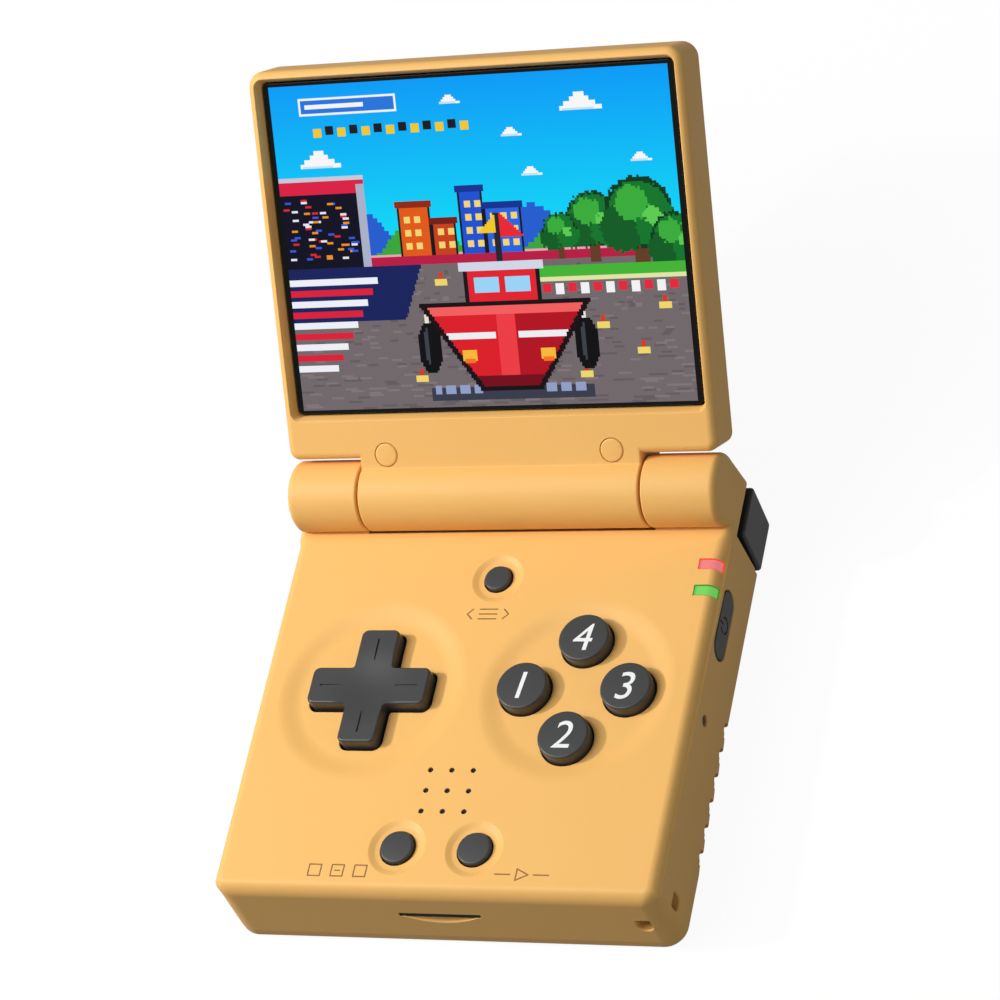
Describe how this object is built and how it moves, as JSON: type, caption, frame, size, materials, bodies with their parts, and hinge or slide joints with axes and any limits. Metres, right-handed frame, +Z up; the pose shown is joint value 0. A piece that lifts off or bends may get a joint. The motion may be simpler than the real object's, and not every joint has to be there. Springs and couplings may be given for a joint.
{
  "type": "clamshell handheld game console",
  "caption": "Clamshell handheld game console on its base, lid open, with screen, cross pad, round face buttons, small menu buttons, shoulder buttons, speaker grille and side keys.",
  "frame": {"origin": "on the rest plane under the base, midway between the sides and midway between the base's front wall and its rear wall", "axes": "+X to the player's right, +Y towards the hinge, +Z up out of the control face"},
  "size_m": [0.0859, 0.1399, 0.078],
  "materials": {
    "shell": "fine satin grain",
    "button": "satin",
    "key_mat": "matt silicone",
    "steel": "plain",
    "circuit_board": "solder mask",
    "battery_wrap": "shrink film",
    "black_plastic": "satin",
    "lens": "polished",
    "display": "lit display",
    "ribbon": "flat cable film",
    "red_light": "clear tinted",
    "green_light": "clear tinted"
  },
  "bodies": {
    "base": {"front_housing": "shell", "rear_cover": "shell", "main_board": "circuit_board", "battery": "battery_wrap", "speaker": "black_plastic", "d_pad_mat": "key_mat", "face_button_mat": "key_mat", "menu_button_mat": "key_mat", "start_select_mat": "key_mat", "card_socket": "steel", "usb_c_port": "steel", "mini_hdmi_port": "steel", "audio_jack": "black_plastic", "red_light_guide": "red_light", "green_light_guide": "green_light", "hinge_cartridge": "steel", "hinge_bush": "black_plastic", "power_switch": "black_plastic", "reset_switch": "black_plastic", "volume_switch": "black_plastic", "left_inner_shoulder_switch": "black_plastic", "left_outer_shoulder_switch": "black_plastic", "right_inner_shoulder_switch": "black_plastic", "right_outer_shoulder_switch": "black_plastic", "left_shoulder_pin": "steel", "right_shoulder_pin": "steel", "rear_screw_front_left": "steel", "rear_screw_front_right": "steel", "rear_screw_rear_left": "steel", "rear_screw_rear_right": "steel"},
    "lid": {"lid_frame": "shell", "lid_back_cover": "shell", "screen_lens": "lens", "display_panel": "display", "backlight_tray": "steel", "display_ribbon": "ribbon", "sleep_magnet": "steel", "left_screw_plug": "shell", "right_screw_plug": "shell", "left_lid_screw": "steel", "right_lid_screw": "steel", "left_hinge_shaft": "steel", "right_hinge_shaft": "steel"},
    "right_button": {"right_button": "button"},
    "upper_button": {"upper_button": "button"},
    "left_button": {"left_button": "button"},
    "lower_button": {"lower_button": "button"},
    "menu_button": {"menu_button": "button"},
    "select_button": {"select_button": "button"},
    "start_button": {"start_button": "button"},
    "d_pad": {"d_pad": "button"},
    "d_pad_disc": {"d_pad_disc": "button"},
    "power_button": {"power_button": "button"},
    "volume_rocker": {"volume_rocker": "button"},
    "reset_button": {"reset_button": "black_plastic"},
    "left_inner_shoulder_button": {"left_inner_shoulder_button": "button"},
    "left_outer_shoulder_button": {"left_outer_shoulder_button": "button"},
    "right_inner_shoulder_button": {"right_inner_shoulder_button": "button"},
    "right_outer_shoulder_button": {"right_outer_shoulder_button": "button"}
  },
  "joints": [
    {"name": "lid_hinge", "type": "hinge", "parent": "base", "child": "lid", "pos_m": [0, 0.0428, 0.0204], "axis": [1, 0, 0], "range_deg": [0, 135]},
    {"name": "d_pad_roll", "type": "hinge", "parent": "base", "child": "d_pad_disc", "pos_m": [-0.0198, 0.004, 0.0134], "axis": [0, 1, 0], "range_deg": [-2, 2], "stiffness_Nm_per_rad": 0.02},
    {"name": "d_pad_pitch", "type": "hinge", "parent": "d_pad_disc", "child": "d_pad", "pos_m": [-0.0198, 0.004, 0.0134], "axis": [1, 0, 0], "range_deg": [-2, 2], "stiffness_Nm_per_rad": 0.02},
    {"name": "right_button_press", "type": "slide", "parent": "base", "child": "right_button", "axis": [0, 0, -1], "range_m": [0, 0.001], "stiffness_N_per_m": 150},
    {"name": "upper_button_press", "type": "slide", "parent": "base", "child": "upper_button", "axis": [0, 0, -1], "range_m": [0, 0.001], "stiffness_N_per_m": 150},
    {"name": "left_button_press", "type": "slide", "parent": "base", "child": "left_button", "axis": [0, 0, -1], "range_m": [0, 0.001], "stiffness_N_per_m": 150},
    {"name": "lower_button_press", "type": "slide", "parent": "base", "child": "lower_button", "axis": [0, 0, -1], "range_m": [0, 0.001], "stiffness_N_per_m": 150},
    {"name": "menu_button_press", "type": "slide", "parent": "base", "child": "menu_button", "axis": [0, 0, -1], "range_m": [0, 0.0006], "stiffness_N_per_m": 200},
    {"name": "select_button_press", "type": "slide", "parent": "base", "child": "select_button", "axis": [0, 0, -1], "range_m": [0, 0.0006], "stiffness_N_per_m": 200},
    {"name": "start_button_press", "type": "slide", "parent": "base", "child": "start_button", "axis": [0, 0, -1], "range_m": [0, 0.0006], "stiffness_N_per_m": 200},
    {"name": "power_button_press", "type": "slide", "parent": "base", "child": "power_button", "axis": [-1, 0, 0], "range_m": [0, 0.0005], "stiffness_N_per_m": 250},
    {"name": "reset_button_press", "type": "slide", "parent": "base", "child": "reset_button", "axis": [-1, 0, 0], "range_m": [0, 0.0003], "stiffness_N_per_m": 250},
    {"name": "volume_rocker_tilt", "type": "hinge", "parent": "base", "child": "volume_rocker", "pos_m": [-0.0398, 0.0199, 0.0113], "axis": [0, 0, 1], "range_deg": [-1.8, 1.8], "stiffness_Nm_per_rad": 0.02},
    {"name": "left_inner_shoulder_button_press", "type": "hinge", "parent": "base", "child": "left_inner_shoulder_button", "pos_m": [-0.0212, 0.0403, 0.0046], "axis": [1, 0, 0], "range_deg": [0, 4], "stiffness_Nm_per_rad": 0.03},
    {"name": "left_outer_shoulder_button_press", "type": "hinge", "parent": "base", "child": "left_outer_shoulder_button", "pos_m": [-0.0353, 0.0403, 0.0046], "axis": [1, 0, 0], "range_deg": [0, 4], "stiffness_Nm_per_rad": 0.03},
    {"name": "right_inner_shoulder_button_press", "type": "hinge", "parent": "base", "child": "right_inner_shoulder_button", "pos_m": [0.0212, 0.0403, 0.0046], "axis": [1, 0, 0], "range_deg": [0, 4], "stiffness_Nm_per_rad": 0.03},
    {"name": "right_outer_shoulder_button_press", "type": "hinge", "parent": "base", "child": "right_outer_shoulder_button", "pos_m": [0.0353, 0.0403, 0.0046], "axis": [1, 0, 0], "range_deg": [0, 4], "stiffness_Nm_per_rad": 0.03}
  ]
}
